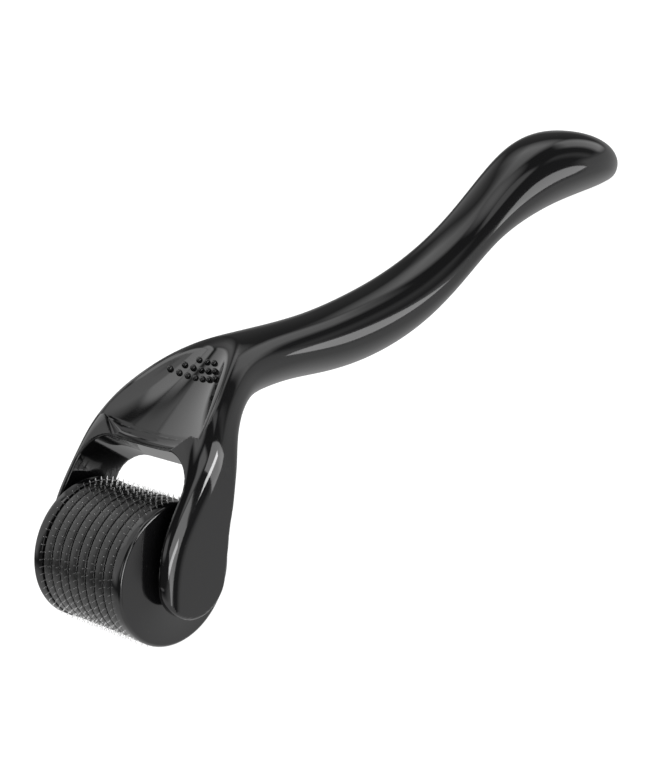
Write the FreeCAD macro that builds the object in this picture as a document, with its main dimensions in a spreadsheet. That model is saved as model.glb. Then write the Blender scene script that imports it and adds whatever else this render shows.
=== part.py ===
import FreeCAD, Part
import math
import os
import Sketcher

from FreeCAD import Placement, Rotation, Vector

# Derma roller, in millimetres. The handle and the drum are modelled about the axle, with X along
# the axle, Z up along the fork arms and Y towards the tail of the handle. They are then turned
# together by the rest tilt, so that the roller lies on its needle tips and on its tail.

SIZES = (
    # Drum
    ("needle_tip_radius", 10.75),
    ("needle_root_radius", 9.6),
    ("needle_root_width", 0.34),
    ("needle_tip_width", 0.06),
    ("needles_per_disc", 60),
    ("disc_thickness", 0.22),
    ("disc_pitch", 1.82),
    ("ring_radius", 10.2),
    ("ring_edge_radius", 0.2),
    ("cap_radius", 10.35),
    ("cap_thickness", 1.9),
    ("cap_edge_radius", 0.45),
    ("boss_radius", 2.9),
    ("boss_height", 1.65),
    ("core_radius", 6.0),
    ("core_bore_radius", 3.4),
    ("key_width", 1.6),
    ("key_height", 0.9),
    ("slide_gap", 0.05),
    ("spigot_length", 3.0),
    # Axle and fork
    ("axle_radius", 1.6),
    ("axle_reach", 12.3),
    ("running_gap", 0.05),
    ("end_gap", 0.25),
    ("fork_inner_half", 11.15),
    ("fork_outer_half", 13.4),
    ("lobe_radius", 5.6),
    ("lobe_y", 0.35),
    ("window_corner_radius", 5.5),
    ("window_front_y", 2.1),
    ("window_front_z", 16.95),
    ("window_slope", 33.0),
    # Thumb rest
    ("dish_lip_y", 5.0),
    ("dish_lip_z", 17.7),
    ("dish_slope", 38.5),
    ("dish_length", 17.0),
    ("dish_lip_radius", 30.0),
    ("dish_neck_radius", 8.0),
    ("cove_radius", 1.75),
    ("cove_y", 3.34),
    ("cove_z", 18.2),
    ("cove_half_width", 6.1),
    ("cove_end_length", 2.75),
    ("cove_tip_radius", 0.1),
    ("cove_tip_y", 4.15),
    ("cove_tip_z", 18.95),
    ("bump_radius", 0.48),
    ("bump_pitch", 1.554),
    ("bump_bed_radius", 11.0),
    # Rest
    ("rest_tilt", 24.49),
)

# Stations of the handle's skin, from the fork to the tail: centre y, centre z, half width,
# half thickness and squareness, where 2 is an ellipse and more is a rounder rectangle.
STATIONS = (
    (0.35, -7.5, 14.0, 5.55, 4.5),
    (0.35, -3.5, 14.0, 5.55, 4.5),
    (0.45, 0.5, 14.0, 5.55, 4.5),
    (1.15, 4.5, 14.0, 5.5, 4.2),
    (2.6, 8.5, 13.9, 4.85, 4.0),
    (4.5, 12.5, 13.5, 4.3, 3.6),
    (6.7, 16.2, 12.7, 4.5, 3.2),
    (9.4, 19.6, 11.2, 4.7, 2.9),
    (13.3, 22.6, 9.2, 4.6, 2.7),
    (18.0, 24.4, 7.2, 4.4, 2.5),
    (24.0, 25.1, 5.8, 4.3, 2.4),
    (31.0, 25.3, 5.3, 4.3, 2.3),
    (40.0, 25.4, 5.4, 4.7, 2.3),
    (50.0, 26.5, 5.7, 5.0, 2.3),
    (61.0, 29.3, 5.8, 4.7, 2.3),
    (71.0, 33.6, 5.5, 4.0, 2.3),
    (81.0, 39.1, 5.3, 3.9, 2.3),
    (90.0, 43.6, 5.9, 5.1, 2.3),
    (99.0, 46.8, 7.2, 6.0, 2.3),
    (107.0, 47.9, 8.0, 5.8, 2.3),
    (113.0, 47.5, 7.8, 4.9, 2.3),
    (117.5, 46.4, 6.6, 3.9, 2.2),
    (120.5, 45.4, 4.6, 2.7, 2.1),
    (122.0, 44.9, 2.0, 1.2, 2.0),
)

# Rows of bumps on the thumb rest: how many, and the row's middle in y and z.
BUMP_ROWS = ((7, 13.35, 24.35), (5, 14.5, 25.35), (3, 15.75, 26.3))

# Each disc is turned by its own part of the tooth spacing, so that the needles are staggered.
DISC_PHASES = (5.83, 3.05, 1.22, 0.51, 1.17, 0.96, 1.03, 5.38, 2.6)

SECTION_POINTS = 24
ROOM = 40.0

doc = FreeCAD.newDocument("derma_roller")
sheet = doc.addObject("Spreadsheet::Sheet", "Sizes")
for row, (alias, size) in enumerate(SIZES, start=1):
    sheet.set(f"A{row}", alias)
    sheet.set(f"B{row}", str(size))
    sheet.setAlias(f"B{row}", alias)
doc.recompute()
size_of = {alias: float(sheet.get(alias)) for alias, _ in SIZES}


def bind(thing, **formulas):
    """Tie each property of an object to a formula of the sheet's cells."""
    for prop, formula in formulas.items():
        thing.setExpression(prop.replace("__", "."), formula)
    return thing


def rod(name, radius, length, start):
    """A cylinder along X, from its start."""
    thing = doc.addObject("Part::Cylinder", name)
    thing.Placement = Placement(Vector(0, 0, 0), Rotation(Vector(0, 1, 0), 90))
    return bind(thing, Radius=radius, Height=length, Placement__Base__x=start)


def taper(name, radius_1, radius_2, length, start):
    """A cone along X, from its start."""
    thing = doc.addObject("Part::Cone", name)
    thing.Placement = Placement(Vector(0, 0, 0), Rotation(Vector(0, 1, 0), 90))
    return bind(thing, Radius1=radius_1, Radius2=radius_2, Height=length, Placement__Base__x=start)


def fuse(name, *shapes):
    thing = doc.addObject("Part::MultiFuse", name)
    thing.Shapes = list(shapes)
    return thing


def cut(name, base, tool):
    thing = doc.addObject("Part::Cut", name)
    thing.Base = base
    thing.Tool = tool
    return thing


def edges_where(shape, test):
    """Numbers of the edges that pass a test, as Part::Fillet counts them."""
    return [number for number, edge in enumerate(shape.Edges, start=1) if test(edge)]


def is_circle(edge, radius, places_x):
    """Whether an edge is a full circle about the axle of this radius, at one of these x."""
    curve = edge.Curve
    if not isinstance(curve, Part.Circle) or abs(curve.Radius - radius) > 1e-3:
        return False
    on_axle = math.hypot(curve.Center.y, curve.Center.z) < 1e-3
    return on_axle and any(abs(curve.Center.x - place) < 1e-3 for place in places_x)


def round_rim(name, base, radius_name, rim_radius, places_x):
    """Round a turned part's outer rim at the given x."""
    doc.recompute()
    radius = size_of[radius_name]
    thing = doc.addObject("Part::Fillet", name)
    thing.Base = base
    numbers = edges_where(base.Shape, lambda edge: is_circle(edge, rim_radius, places_x))
    thing.Edges = [(number, radius, radius) for number in numbers]
    return thing


def sketch_on_axle_plane(body, name):
    """A sketch on the plane that the axle stands square to."""
    sketch = body.newObject("Sketcher::SketchObject", name)
    plane = next(item for item in body.Origin.OriginFeatures if item.Role == "YZ_Plane")
    sketch.AttachmentSupport = [(plane, "")]
    sketch.MapMode = "FlatFace"
    return sketch


def add_circle(sketch, radius):
    """A circle about the axle whose radius is a formula."""
    circle = sketch.addGeometry(Part.Circle(Vector(0, 0, 0), Vector(0, 0, 1), 5.0), False)
    sketch.addConstraint(Sketcher.Constraint("Coincident", circle, 3, -1, 1))
    number = sketch.addConstraint(Sketcher.Constraint("Radius", circle, 5.0))
    sketch.setExpression(f"Constraints[{number}]", radius)


def add_polygon(sketch, corners):
    """Straight lines from corner to corner, each corner's two distances a formula."""
    points = [Vector(x, y, 0) for x, y, _, _ in corners]
    count = len(points)
    lines = [
        sketch.addGeometry(Part.LineSegment(points[i], points[(i + 1) % count]), False)
        for i in range(count)
    ]
    for i, line in enumerate(lines):
        sketch.addConstraint(Sketcher.Constraint("Coincident", line, 2, lines[(i + 1) % count], 1))
    for line, (x, y, formula_x, formula_y) in zip(lines, corners):
        for kind, value, formula in (("DistanceX", x, formula_x), ("DistanceY", y, formula_y)):
            number = sketch.addConstraint(Sketcher.Constraint(kind, -1, 1, line, 1, value))
            sketch.setExpression(f"Constraints[{number}]", formula)


def pad_of_disc_thickness(body, sketch, name):
    """A pad half a disc's thickness to each side of its sketch."""
    feature = body.newObject("PartDesign::Pad", name)
    feature.Profile = sketch
    feature.Midplane = True
    return bind(feature, Length="Sizes.disc_thickness")


def needle_disc(index, phase):
    """A thin steel disc with its ring of needles and a notch for the core's key."""
    name = f"needle_disc_{index + 1}"
    body = doc.addObject("PartDesign::Body", name)
    blank = sketch_on_axle_plane(body, f"{name}_blank")
    add_circle(blank, "Sizes.needle_root_radius")
    add_circle(blank, "Sizes.core_radius + Sizes.slide_gap")
    pad_of_disc_thickness(body, blank, f"{name}_plate")

    needle = sketch_on_axle_plane(body, f"{name}_needle")
    needle.AttachmentOffset = Placement(Vector(0, 0, 0), Rotation(Vector(0, 0, 1), phase))
    root = "Sizes.needle_root_radius - 0.1"
    add_polygon(
        needle,
        (
            (-0.2, 9.5, "-Sizes.needle_root_width / 2", root),
            (0.2, 9.5, "Sizes.needle_root_width / 2", root),
            (0.03, 10.7, "Sizes.needle_tip_width / 2", "Sizes.needle_tip_radius"),
            (-0.03, 10.7, "-Sizes.needle_tip_width / 2", "Sizes.needle_tip_radius"),
        ),
    )
    spike = pad_of_disc_thickness(body, needle, f"{name}_spike")
    crown = body.newObject("PartDesign::PolarPattern", f"{name}_crown")
    crown.Originals = [spike]
    crown.Axis = (blank, ["N_Axis"])
    crown.Angle = 360
    bind(crown, Occurrences="Sizes.needles_per_disc")
    body.Tip = crown

    notch = sketch_on_axle_plane(body, f"{name}_notch")
    half = "Sizes.key_width / 2 + Sizes.slide_gap"
    bottom = "Sizes.core_radius - 1"
    top = "Sizes.core_radius + Sizes.key_height + Sizes.slide_gap"
    add_polygon(
        notch,
        (
            (-0.9, 5.0, f"-({half})", bottom),
            (0.9, 5.0, half, bottom),
            (0.9, 7.0, half, top),
            (-0.9, 7.0, f"-({half})", top),
        ),
    )
    pocket = body.newObject("PartDesign::Pocket", f"{name}_keyway")
    pocket.Profile = notch
    pocket.Type = "ThroughAll"
    pocket.Midplane = True
    body.Tip = pocket
    return body


def key_bar(name, length, start, gap):
    """The bar along the core that turns every disc and ring with it."""
    thing = doc.addObject("Part::Box", name)
    width = f"Sizes.key_width + 2 * {gap}"
    return bind(
        thing,
        Length=length,
        Width=width,
        Height=f"1 + Sizes.key_height + {gap}",
        Placement__Base__x=start,
        Placement__Base__y=f"-({width}) / 2",
        Placement__Base__z="Sizes.core_radius - 1",
    )


def spacer_ring(index):
    """The plastic ring that fills the space between two discs, its rim rounded."""
    name = f"spacer_ring_{index + 1}"
    width = "(Sizes.disc_pitch - Sizes.disc_thickness)"
    start = f"-{width} / 2"
    bore_length = f"{width} + 2"
    bore_start = f"{start} - 1"
    tyre = rod(f"{name}_tyre", "Sizes.ring_radius", width, start)
    bore = rod(f"{name}_bore", "Sizes.core_radius + Sizes.slide_gap", bore_length, bore_start)
    keyway = key_bar(f"{name}_keyway", bore_length, bore_start, "Sizes.slide_gap")
    hollow = cut(f"{name}_hollow", tyre, fuse(f"{name}_tool", bore, keyway))
    half = (size_of["disc_pitch"] - size_of["disc_thickness"]) / 2
    return round_rim(name, hollow, "ring_edge_radius", size_of["ring_radius"], (-half, half))


def drum_core():
    """The sleeve that the discs and rings are stacked on, with its key bar."""
    length = "(8 * Sizes.disc_pitch + Sizes.disc_thickness)"
    start = f"-{length} / 2"
    sleeve = rod("core_sleeve", "Sizes.core_radius", length, start)
    key = key_bar("core_key", length, start, "0")
    bore = rod("core_bore", "Sizes.core_bore_radius", f"{length} + 2", f"{start} - 1")
    return cut("drum_core", fuse("core_body", sleeve, key), bore)


def end_cap(name, side):
    """The cap that clamps the stack: rim, thrust boss, stub axle and the spigot in the core."""
    stack = "(4 * Sizes.disc_pitch + Sizes.disc_thickness / 2)"
    rim = rod(f"{name}_rim", "Sizes.cap_radius", "Sizes.cap_thickness", stack)
    spigot = rod(
        f"{name}_spigot",
        "Sizes.core_bore_radius - Sizes.slide_gap",
        "Sizes.spigot_length",
        f"{stack} - Sizes.spigot_length",
    )
    face = f"({stack} + Sizes.cap_thickness)"
    boss = rod(f"{name}_boss", "Sizes.boss_radius", "Sizes.boss_height", face)
    stub = rod(f"{name}_stub", "Sizes.axle_radius", f"Sizes.axle_reach - {face}", face)
    face_x = 4 * size_of["disc_pitch"] + size_of["disc_thickness"] / 2 + size_of["cap_thickness"]
    whole = fuse(f"{name}_blank", rim, spigot, boss, stub)
    cap = round_rim(name, whole, "cap_edge_radius", size_of["cap_radius"], (face_x,))
    turn = 0 if side > 0 else 180
    return cap, Rotation(Vector(0, 0, 1), turn)


def section(name, middle, tangent, half_width, half_thickness, squareness):
    """A closed superellipse square to the handle's line, as a wire of one periodic spline."""
    normal = Vector(0, -tangent.z, tangent.y)
    points = []
    for step in range(SECTION_POINTS):
        angle = 2 * math.pi * step / SECTION_POINTS
        across = math.copysign(abs(math.cos(angle)) ** (2 / squareness), math.cos(angle))
        upward = math.copysign(abs(math.sin(angle)) ** (2 / squareness), math.sin(angle))
        points.append(middle + Vector(half_width * across, 0, 0) + normal * half_thickness * upward)
    curve = Part.BSplineCurve()
    curve.interpolate(points, PeriodicFlag=True)
    thing = doc.addObject("Part::Feature", name)
    thing.Shape = Part.Wire([curve.toShape()])
    return thing


def handle_skin():
    """The handle's outer skin, a loft through its stations."""
    middles = [Vector(0, y, z) for y, z, *_ in STATIONS]
    sections = []
    for i, (_, _, half_width, half_thickness, squareness) in enumerate(STATIONS):
        tangent = middles[min(i + 1, len(middles) - 1)] - middles[max(i - 1, 0)]
        if i == 0:
            tangent = Vector(0, 0, 1)
        tangent.normalize()
        sections.append(
            section(f"station_{i + 1}", middles[i], tangent, half_width, half_thickness, squareness)
        )
    loft = doc.addObject("Part::Loft", "handle_skin")
    loft.Sections = sections
    loft.Solid = True
    loft.Ruled = False
    return loft


def flank_block():
    """The block whose two sides are the flat outer faces of the arms."""
    block = doc.addObject("Part::Box", "flank_block")
    return bind(
        block,
        Length="2 * Sizes.fork_outer_half",
        Width=str(6 * ROOM),
        Height=str(4 * ROOM),
        Placement__Base__x="-Sizes.fork_outer_half",
        Placement__Base__y=f"-{ROOM}",
        Placement__Base__z=f"-{ROOM}",
    )


def lobe_trimmer():
    """The cutter that rounds the lower ends of the arms about the axle."""
    block = doc.addObject("Part::Box", "lobe_block")
    block.Placement = Placement(Vector(-ROOM / 2, -ROOM / 2, -ROOM), Rotation())
    bind(block, Length=str(ROOM), Width=str(ROOM), Height=str(ROOM))
    round_end = rod("lobe_round", "Sizes.lobe_radius", str(2 * ROOM), f"-{ROOM}")
    bind(round_end, Placement__Base__y="Sizes.lobe_y")
    return cut("lobe_trimmer", block, round_end)


def fork_window():
    """The cutter for the space between the arms, its two upper edges rounded."""
    block = doc.addObject("Part::Box", "window_block")
    bind(block, Length="2 * Sizes.fork_inner_half", Width=str(ROOM), Height=str(ROOM))
    turn = Rotation(Vector(1, 0, 0), -size_of["window_slope"])
    front = Vector(0, size_of["window_front_y"], size_of["window_front_z"])
    corner = Vector(size_of["fork_inner_half"], ROOM / 2, ROOM)
    block.Placement = Placement(front - turn.multVec(corner), turn)
    doc.recompute()
    along = turn.multVec(Vector(0, 1, 0))
    up = turn.multVec(Vector(0, 0, 1))

    def is_upper_side(edge):
        direction = edge.Vertexes[1].Point - edge.Vertexes[0].Point
        straight = abs(abs(direction.normalize().dot(along)) - 1) < 1e-6
        return straight and abs((edge.Vertexes[0].Point - front).dot(up)) < 1e-6

    radius = size_of["window_corner_radius"]
    thing = doc.addObject("Part::Fillet", "fork_window")
    thing.Base = block
    thing.Edges = [(n, radius, radius) for n in edges_where(block.Shape, is_upper_side)]
    return thing


def dish_frame():
    """The dish's lowest line: its start at the lip, its direction and its normal."""
    slope = math.radians(size_of["dish_slope"])
    start = Vector(0, size_of["dish_lip_y"], size_of["dish_lip_z"])
    along = Vector(0, math.cos(slope), math.sin(slope))
    normal = Vector(0, -math.sin(slope), math.cos(slope))
    return start, along, normal


def dish_cutter():
    """The cutter for the thumb rest: circles that touch one line and shrink towards the neck."""
    start, along, normal = dish_frame()
    length = size_of["dish_length"]
    wide = size_of["dish_lip_radius"]
    narrow = size_of["dish_neck_radius"]
    middle = math.sqrt(wide * narrow)
    circles = []
    for i, (share, radius) in enumerate(((0.0, wide), (0.5, middle), (1.0, narrow))):
        circle = doc.addObject("Part::Circle", f"dish_circle_{i + 1}")
        circle.Radius = radius
        place = start + along * (share * length) + normal * radius
        circle.Placement = Placement(place, Rotation(Vector(0, 0, 1), along))
        circles.append(circle)
    loft = doc.addObject("Part::Loft", "dish_cutter")
    loft.Sections = circles
    loft.Solid = True
    loft.Ruled = False
    return loft


def cove_cutter():
    """The cutter for the hollow under the lip: a rod whose two ends lean up to points."""
    tip_x = "(Sizes.cove_half_width + Sizes.cove_end_length)"
    rounds = []
    for i, (x, radius, place) in enumerate((
        (f"-{tip_x}", "Sizes.cove_tip_radius", "cove_tip"),
        ("-Sizes.cove_half_width", "Sizes.cove_radius", "cove"),
        ("Sizes.cove_half_width", "Sizes.cove_radius", "cove"),
        (tip_x, "Sizes.cove_tip_radius", "cove_tip"),
    )):
        circle = doc.addObject("Part::Circle", f"cove_circle_{i + 1}")
        circle.Placement = Placement(Vector(0, 0, 0), Rotation(Vector(0, 1, 0), 90))
        bind(
            circle,
            Radius=radius,
            Placement__Base__x=x,
            Placement__Base__y=f"Sizes.{place}_y",
            Placement__Base__z=f"Sizes.{place}_z",
        )
        rounds.append(circle)
    loft = doc.addObject("Part::Loft", "cove_cutter")
    loft.Sections = rounds
    loft.Solid = True
    loft.Ruled = True
    return loft


def bumps():
    """The grip bumps, rows of balls half sunk in the dish."""
    normal = dish_frame()[2]
    bed = size_of["bump_bed_radius"]
    balls = []
    for count, y, z in BUMP_ROWS:
        for step in range(count):
            x = (step - (count - 1) / 2) * size_of["bump_pitch"]
            rise = bed - math.sqrt(bed**2 - x**2)
            ball = doc.addObject("Part::Sphere", f"bump_{len(balls) + 1}")
            bind(ball, Radius="Sizes.bump_radius")
            ball.Placement = Placement(Vector(x, y, z) + normal * rise, Rotation())
            balls.append(ball)
    return balls


def handle():
    """One moulding: the trimmed skin less window, dish, cove and sockets, with its bumps."""
    flanked = doc.addObject("Part::Common", "handle_flanked")
    flanked.Base = handle_skin()
    flanked.Tool = flank_block()
    trimmed = cut("handle_trimmed", flanked, lobe_trimmer())
    hollow = cut("handle_windowed", trimmed, fork_window())
    dished = cut("handle_dished", hollow, dish_cutter())
    coved = cut("handle_coved", dished, cove_cutter())
    studded = fuse("handle_studded", coved, *bumps())
    reach = "(Sizes.axle_reach + Sizes.end_gap)"
    socket = rod("axle_sockets", "Sizes.axle_radius + Sizes.running_gap", f"2 * {reach}", f"-{reach}")
    return cut("handle", studded, socket)


pitch = size_of["disc_pitch"]
nodes = {}
nodes["handle"] = (handle(), Rotation(), 0.0)
nodes["drum_core"] = (drum_core(), Rotation(), 0.0)
for name, side in (("end_cap_left", -1), ("end_cap_right", 1)):
    nodes[name] = (*end_cap(name, side), 0.0)
for index, phase in enumerate(DISC_PHASES):
    nodes[f"needle_disc_{index + 1}"] = (needle_disc(index, phase), Rotation(), (index - 4) * pitch)
for index in range(len(DISC_PHASES) - 1):
    nodes[f"spacer_ring_{index + 1}"] = (spacer_ring(index), Rotation(), (index - 3.5) * pitch)
doc.recompute()

rest = Rotation(Vector(1, 0, 0), -size_of["rest_tilt"])
handle_node = nodes["handle"][0]
handle_node.Placement = Placement(Vector(0, 0, 0), rest)
doc.recompute()
tail_reach = handle_node.Shape.optimalBoundingBox().YMax
middle = (tail_reach - size_of["needle_tip_radius"]) / 2
for name, (node, turn, offset) in nodes.items():
    place = Vector(offset, -middle, size_of["needle_tip_radius"])
    node.Placement = Placement(place, rest.multiply(turn))
    node.Label = name
doc.recompute()

faults = [thing.Name for thing in doc.Objects if {"Invalid", "Error"} & set(thing.State)]
faults += [
    name
    for name, (node, _, _) in nodes.items()
    if node.Shape.isNull() or not node.Shape.isValid() or len(node.Shape.Solids) != 1
]
if faults:
    raise RuntimeError(f"these did not build: {faults}")

os.makedirs("parts", exist_ok=True)
for name, (node, _, _) in nodes.items():
    node.Shape.exportStep(f"parts/{name}.step")
    box = node.Shape.optimalBoundingBox()
    print(name, [round(v, 2) for v in (box.XMin, box.XMax, box.YMin, box.YMax, box.ZMin, box.ZMax)])
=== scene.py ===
import math

import bmesh
import bpy
import numpy as np
from mathutils import Matrix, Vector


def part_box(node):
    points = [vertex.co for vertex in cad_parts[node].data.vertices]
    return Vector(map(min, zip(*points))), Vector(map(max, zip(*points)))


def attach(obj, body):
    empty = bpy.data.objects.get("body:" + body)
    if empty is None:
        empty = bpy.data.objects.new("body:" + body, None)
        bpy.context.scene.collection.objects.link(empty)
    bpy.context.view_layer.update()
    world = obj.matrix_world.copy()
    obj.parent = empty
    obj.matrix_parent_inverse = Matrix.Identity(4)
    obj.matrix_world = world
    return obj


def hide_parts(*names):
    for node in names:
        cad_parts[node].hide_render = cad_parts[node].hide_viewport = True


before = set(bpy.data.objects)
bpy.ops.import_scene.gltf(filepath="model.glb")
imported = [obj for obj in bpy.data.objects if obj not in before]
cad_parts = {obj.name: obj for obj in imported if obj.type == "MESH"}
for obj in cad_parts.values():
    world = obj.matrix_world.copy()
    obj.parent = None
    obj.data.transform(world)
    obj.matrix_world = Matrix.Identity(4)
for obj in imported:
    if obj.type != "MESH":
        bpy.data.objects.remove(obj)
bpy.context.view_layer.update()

MM = 0.001

# The handle and the drum are worked out in millimetres about the axle: x along the axle,
# y towards the tail and z up the fork arms. REST_TILT then lays them down on the floor.
REST_TILT = math.radians(24.49)
CAP_LOW, CAP_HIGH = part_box("end_cap_right")
AXLE_Y = (CAP_LOW.y + CAP_HIGH.y) / 2
AXLE_Z = (CAP_LOW.z + CAP_HIGH.z) / 2


# ---------------------------------------------------------------- sizes, in millimetres

# Handle stations: line y, line z, half width, half thickness, power of the corners, and how far
# the corners reach across and inwards, first on the front or upper side and then behind or
# below. From the neck to the tail a section is a plain superellipse, given by its half sizes.
ARM = (2.0, 1.9, 4.0, 0.45, 0.45)
STATIONS = np.array([
    (0.35, -7.5, 13.4, 5.55, *ARM), (0.35, -3.5, 13.4, 5.55, *ARM), (0.45, 0.5, 13.4, 5.6, *ARM),
    (1.15, 4.5, 13.4, 5.55, *ARM), (2.6, 8.5, 13.4, 4.85, *ARM),
    (4.5, 12.5, 13.35, 4.3, 2.1, 2.6, 4.0, 1.3, 1.1),
    (6.7, 16.2, 12.75, 4.5, 2.4, 5.0, 4.2, 4.5, 3.0),
    (9.4, 19.6, 11.2, 4.7, 2.7, 8.5, 4.6, 8.5, 4.3),
    *((*middle, wide, thick, power, wide, thick, wide, thick) for *middle, wide, thick, power in (
        (13.3, 22.6, 9.2, 4.6, 2.6), (18.0, 24.4, 7.2, 4.4, 2.5), (24.0, 25.1, 5.8, 4.3, 2.4),
        (31.0, 25.3, 5.3, 4.3, 2.3), (40.0, 25.4, 5.4, 4.7, 2.3), (50.0, 26.5, 5.7, 5.0, 2.3),
        (61.0, 29.3, 5.8, 4.7, 2.3), (71.0, 33.6, 5.5, 4.0, 2.3), (81.0, 39.1, 5.3, 3.9, 2.3),
        (90.0, 43.6, 5.9, 5.1, 2.3), (99.0, 46.8, 7.2, 6.0, 2.3), (107.0, 47.9, 8.0, 5.8, 2.3),
        (113.0, 47.6, 7.3, 4.9, 2.3), (117.5, 46.7, 5.5, 3.8, 2.2), (120.5, 45.7, 3.4, 2.4, 2.1),
        (121.9, 45.2, 0.0, 0.0, 2.0),
    )),
])
FLANK = 13.4
LOBE_RADIUS = 5.55
LOBE_Y = 0.35
ARM_EDGE = 0.35
SOCKET_RADIUS = 1.65
SOCKET_END = 12.55

WINDOW_HALF = 11.15
WINDOW_CORNER = 5.5
WINDOW_FRONT = (2.1, 16.95)
WINDOW_SLOPE = math.radians(33.0)
WINDOW_EDGE = 0.3

DISH_LIP = (5.0, 17.7)
DISH_SLOPE = math.radians(38.5)
DISH_LENGTH = 17.0
DISH_LIP_RADIUS = 30.0
DISH_NECK_RADIUS = 8.0
LIP_EDGE = 0.2
RIM_EDGE = 1.0
RIM_START = 0.5
RIM_END = 9.0

COVE_RADIUS = 1.75
COVE_TIP_RADIUS = 0.1
COVE_TAPER_SHARE = 0.85
COVE_TURN = math.radians(34.4)
COVE_HALF = 6.1
COVE_TIP_X = 8.85

BUMP_ROWS = ((7, 13.35, 24.35), (5, 14.5, 25.35), (3, 15.75, 26.3))
BUMP_PITCH = 1.554
BUMP_RADIUS = 0.48
BUMP_BED_RADIUS = 11.0
BUMP_ROWS_OF_POINTS = 15
BUMP_POINTS_ROUND = 28
POLE_ANGLE = 0.02

DISC_PITCH = 1.82
DISC_THICKNESS = 0.22
DISC_BORE = 6.05
NEEDLE_ROOT = 9.6
NEEDLE_TIP = 10.75
NEEDLES = 60
NEEDLE_WAIST = 10.1
TOOTH_START = 0.4
NEEDLE_ROOT_HALF = 0.13
NEEDLE_WAIST_HALF = 0.09
NEEDLE_TIP_HALF = 0.035
NEEDLE_WAIST_THINNING = 0.96
NEEDLE_TIP_THINNING = 0.32
NEEDLE_SHARP_ANGLE = 25

RING_RADIUS = 10.2
RING_EDGE = 0.2
RING_CROWN = 0.03
RING_TREAD_SHARE = 0.85
RING_SEGMENTS = 144
RING_SHARP_ANGLE = 40
STACK_HALF = 4 * DISC_PITCH + DISC_THICKNESS / 2
CAP_RADIUS = 10.35
CAP_THICKNESS = 1.9
CAP_EDGE = 0.45
CAP_BACK_EDGE = 0.15
CAP_SEGMENTS = 160
CAP_SHARP_ANGLE = 30
SPIGOT_RADIUS = 3.35
SPIGOT_LENGTH = 3.0
BOSS_RADIUS = 2.9
BOSS_HEIGHT = 1.65
BOSS_EDGE = 0.2
BOSS_FOOT = 0.06
STUB_RADIUS = 1.6
STUB_END = 12.3
AXLE_DIMPLE = 0.01


def to_floor(points):
    """Turn points by the rest tilt about the axle and set them in the row frame, in metres."""
    c, s = math.cos(REST_TILT), math.sin(REST_TILT)
    x, y, z = points.T
    turned = np.stack([x, y * c + z * s, z * c - y * s], axis=1) * MM
    return turned + np.array([0.0, AXLE_Y, AXLE_Z])


def turn_only(normals):
    """The rest tilt alone, for directions."""
    c, s = math.cos(REST_TILT), math.sin(REST_TILT)
    x, y, z = normals.T
    return np.stack([x, y * c + z * s, z * c - y * s], axis=1)


def mesh_piece(name, points, quads, caps=None, normals=None):
    """A smooth mesh object from arrays of points and four-cornered faces. A turned shape may
    also have an array of many-sided caps, and a shape with a formula its own normals."""
    corners = quads.ravel()
    starts = np.arange(len(quads)) * 4
    if caps is not None:
        starts = np.concatenate([starts, quads.size + np.arange(len(caps)) * caps.shape[1]])
        corners = np.concatenate([corners, caps.ravel()])
    mesh = bpy.data.meshes.new(name)
    mesh.vertices.add(len(points))
    mesh.vertices.foreach_set("co", points.astype(np.float32).ravel())
    mesh.loops.add(len(corners))
    mesh.loops.foreach_set("vertex_index", corners.astype(np.int32))
    mesh.polygons.add(len(starts))
    mesh.polygons.foreach_set("loop_start", starts.astype(np.int32))
    mesh.update(calc_edges=True)
    mesh.polygons.foreach_set("use_smooth", np.ones(len(starts), dtype=bool))
    if normals is not None:
        mesh.normals_split_custom_set_from_vertices(normals)
    piece = bpy.data.objects.new(name, mesh)
    bpy.context.scene.collection.objects.link(piece)
    return piece


def face_outwards(piece):
    """Turn every face of a closed shell outwards."""
    shell = bmesh.new()
    shell.from_mesh(piece.data)
    bmesh.ops.recalc_face_normals(shell, faces=shell.faces)
    shell.to_mesh(piece.data)
    shell.free()


def grid_quads(rows, columns):
    """Faces of a grid that closes on itself along its columns."""
    i, j = np.meshgrid(np.arange(rows - 1), np.arange(columns), indexing="ij")
    k = (j + 1) % columns
    a, b = i * columns + j, i * columns + k
    c, d = (i + 1) * columns + k, (i + 1) * columns + j
    return np.stack([a, d, c, b], axis=-1).reshape(-1, 4)


def seam_quads(rows, columns):
    """Faces that join the last row of a grid to its first row."""
    j = np.arange(columns)
    k = (j + 1) % columns
    last = (rows - 1) * columns
    return np.stack([last + j, j, k, last + k], axis=1)


def end_caps(rows, columns, copies=1):
    """One many-sided face over the small hole at each end of each copy of a turned grid."""
    around = np.arange(columns)
    first = np.arange(copies)[:, None] * rows * columns + around
    last = np.arange(copies)[:, None] * rows * columns + (rows - 1) * columns + around[::-1]
    return np.concatenate([first, last])


# ---------------------------------------------------------------- handle

# Columns of the stations whose squares run smoothly along the line: the widths and the reaches
SQUARED = [2, 3, 5, 6, 7, 8]
SMALLEST_SQUARE = 1e-4
COARSE_STEPS = 260
POINTS_AT_A_TIME = 20000
FAR_INSIDE = -4
FAR_OUTSIDE = 40

# Grid lines for the handle: where they start, then the end and the spacing of each stretch
GRID_X = (-13.65, (-9.3, 0.3), (-5.9, 0.2), (5.9, 0.36), (9.3, 0.2), (13.65, 0.3))
GRID_Y = (-6.3, (1.2, 0.3), (6.0, 0.18), (26.0, 0.34), (118.0, 0.95), (122.6, 0.35))
GRID_Z = (-6.3, (15.6, 0.34), (20.0, 0.18), (55.0, 0.34))
SETTLE_ROUNDS = 4
SLOPE_STEP = 0.004
LONGEST_MOVE = 0.15


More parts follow.
